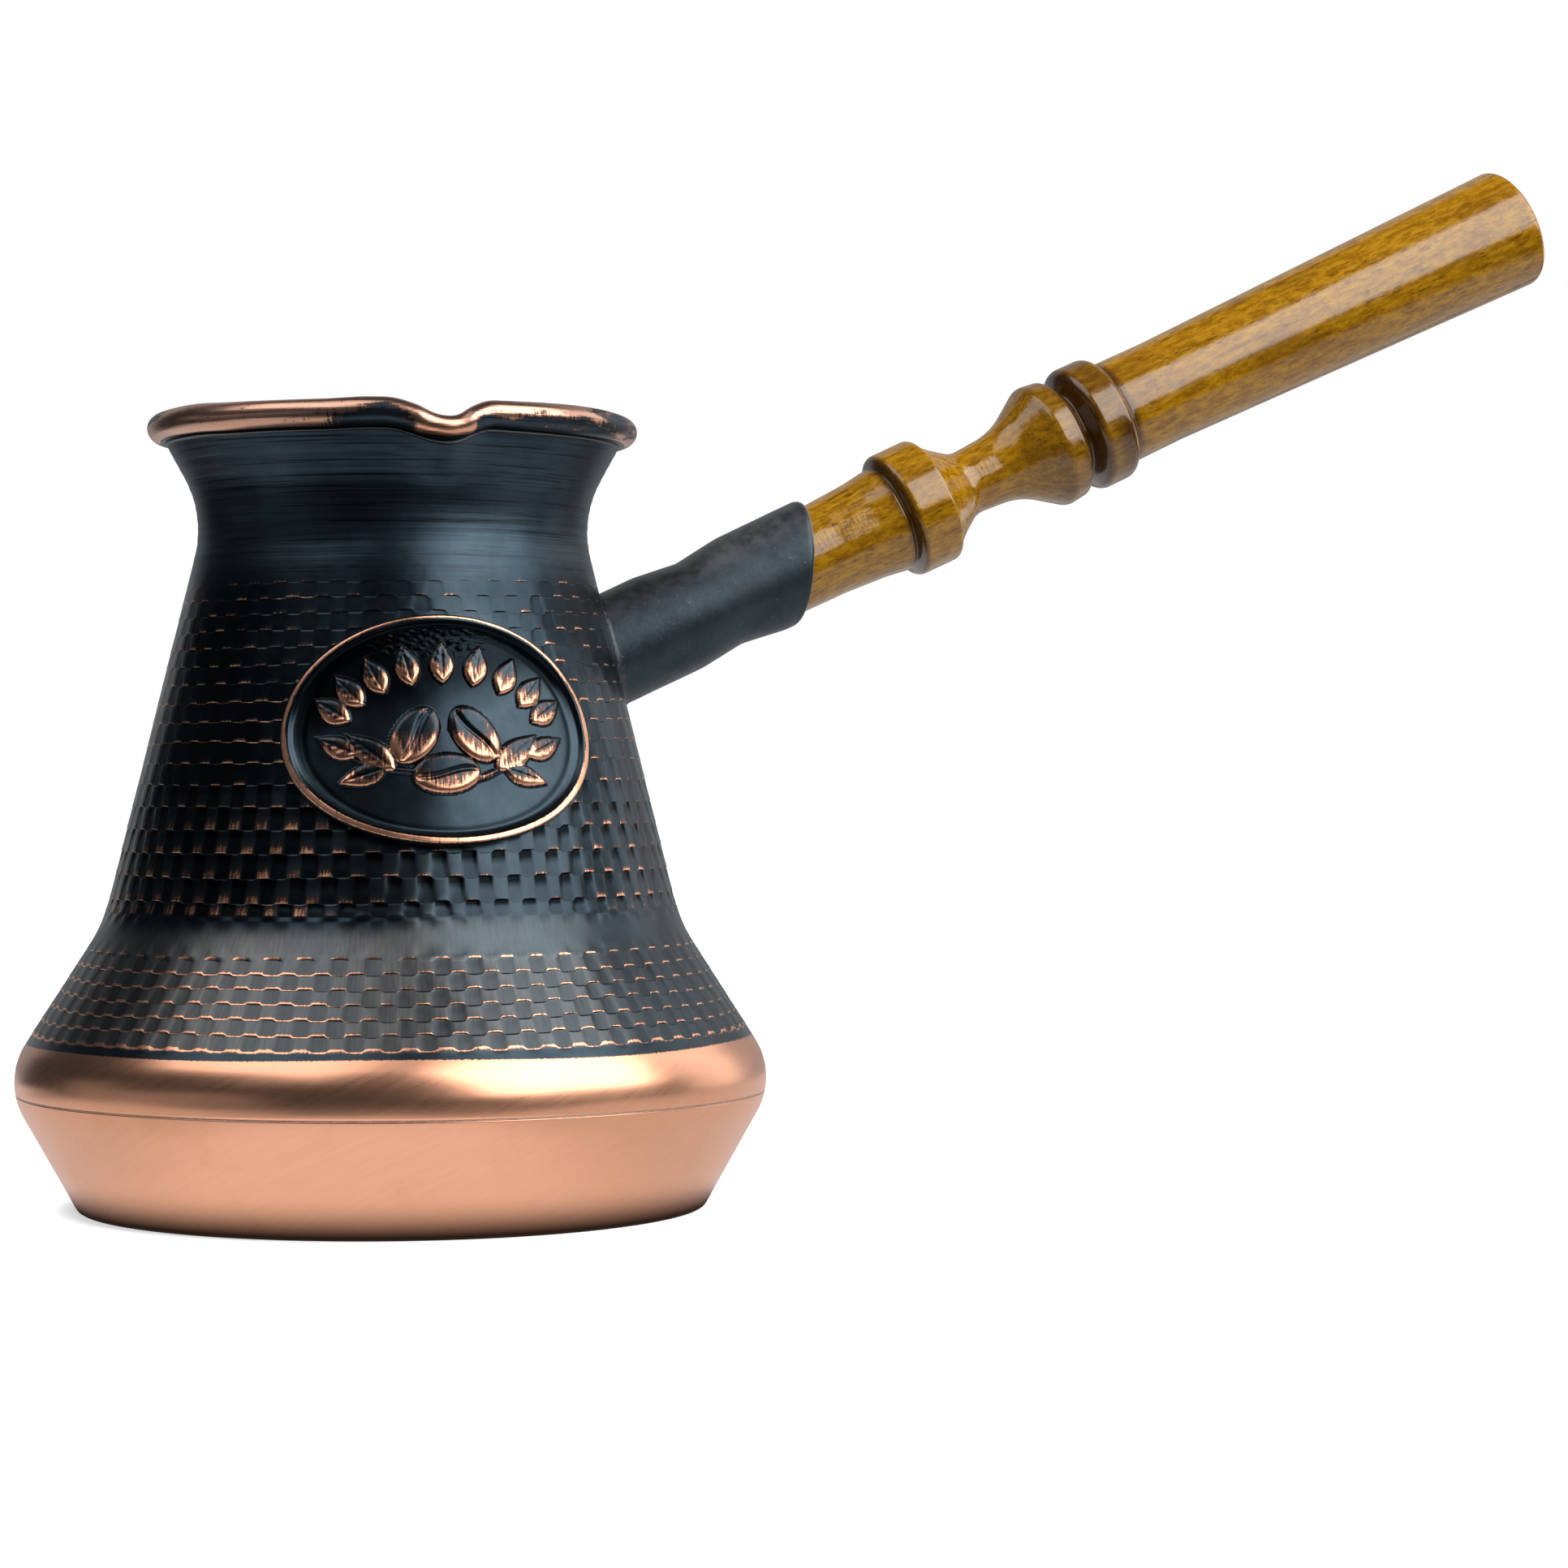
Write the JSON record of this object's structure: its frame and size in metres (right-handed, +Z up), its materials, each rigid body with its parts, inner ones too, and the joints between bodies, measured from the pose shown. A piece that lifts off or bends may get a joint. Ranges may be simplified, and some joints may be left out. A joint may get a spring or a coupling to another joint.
{
  "type": "coffee pot",
  "caption": "Copper coffee pot with a dark textured body, bare copper foot, pouring spout, oval plaque and a turned wooden side handle in a tilted socket.",
  "frame": {"origin": "centre of the pot's flat foot, on the pot's axis, on the surface that it stands on", "axes": "+Z up along the pot's axis; +X towards the handle; -Y towards the spout and the plaque"},
  "size_m": [0.2357, 0.1062, 0.1554],
  "materials": {
    "dark_copper": "dark chemical patina over copper, satin, worn through to copper on raised edges",
    "bare_copper": "satin brushed bare copper",
    "tin": "hand-wiped tin, softly streaked",
    "solder": "dull grey solder",
    "braze": "dull pale braze metal",
    "lacquered_wood": "amber stained hardwood under glossy lacquer",
    "steel": "plain steel"
  },
  "bodies": {
    "root": {"pot_body": "dark_copper", "base_pan": "bare_copper", "seam_solder": "solder", "tin_lining": "tin", "rim_wire": "bare_copper", "medallion": "dark_copper", "medallion_solder": "solder", "handle_socket": "dark_copper", "socket_braze": "braze", "wooden_handle": "lacquered_wood", "handle_screw": "steel"}
  },
  "joints": []
}
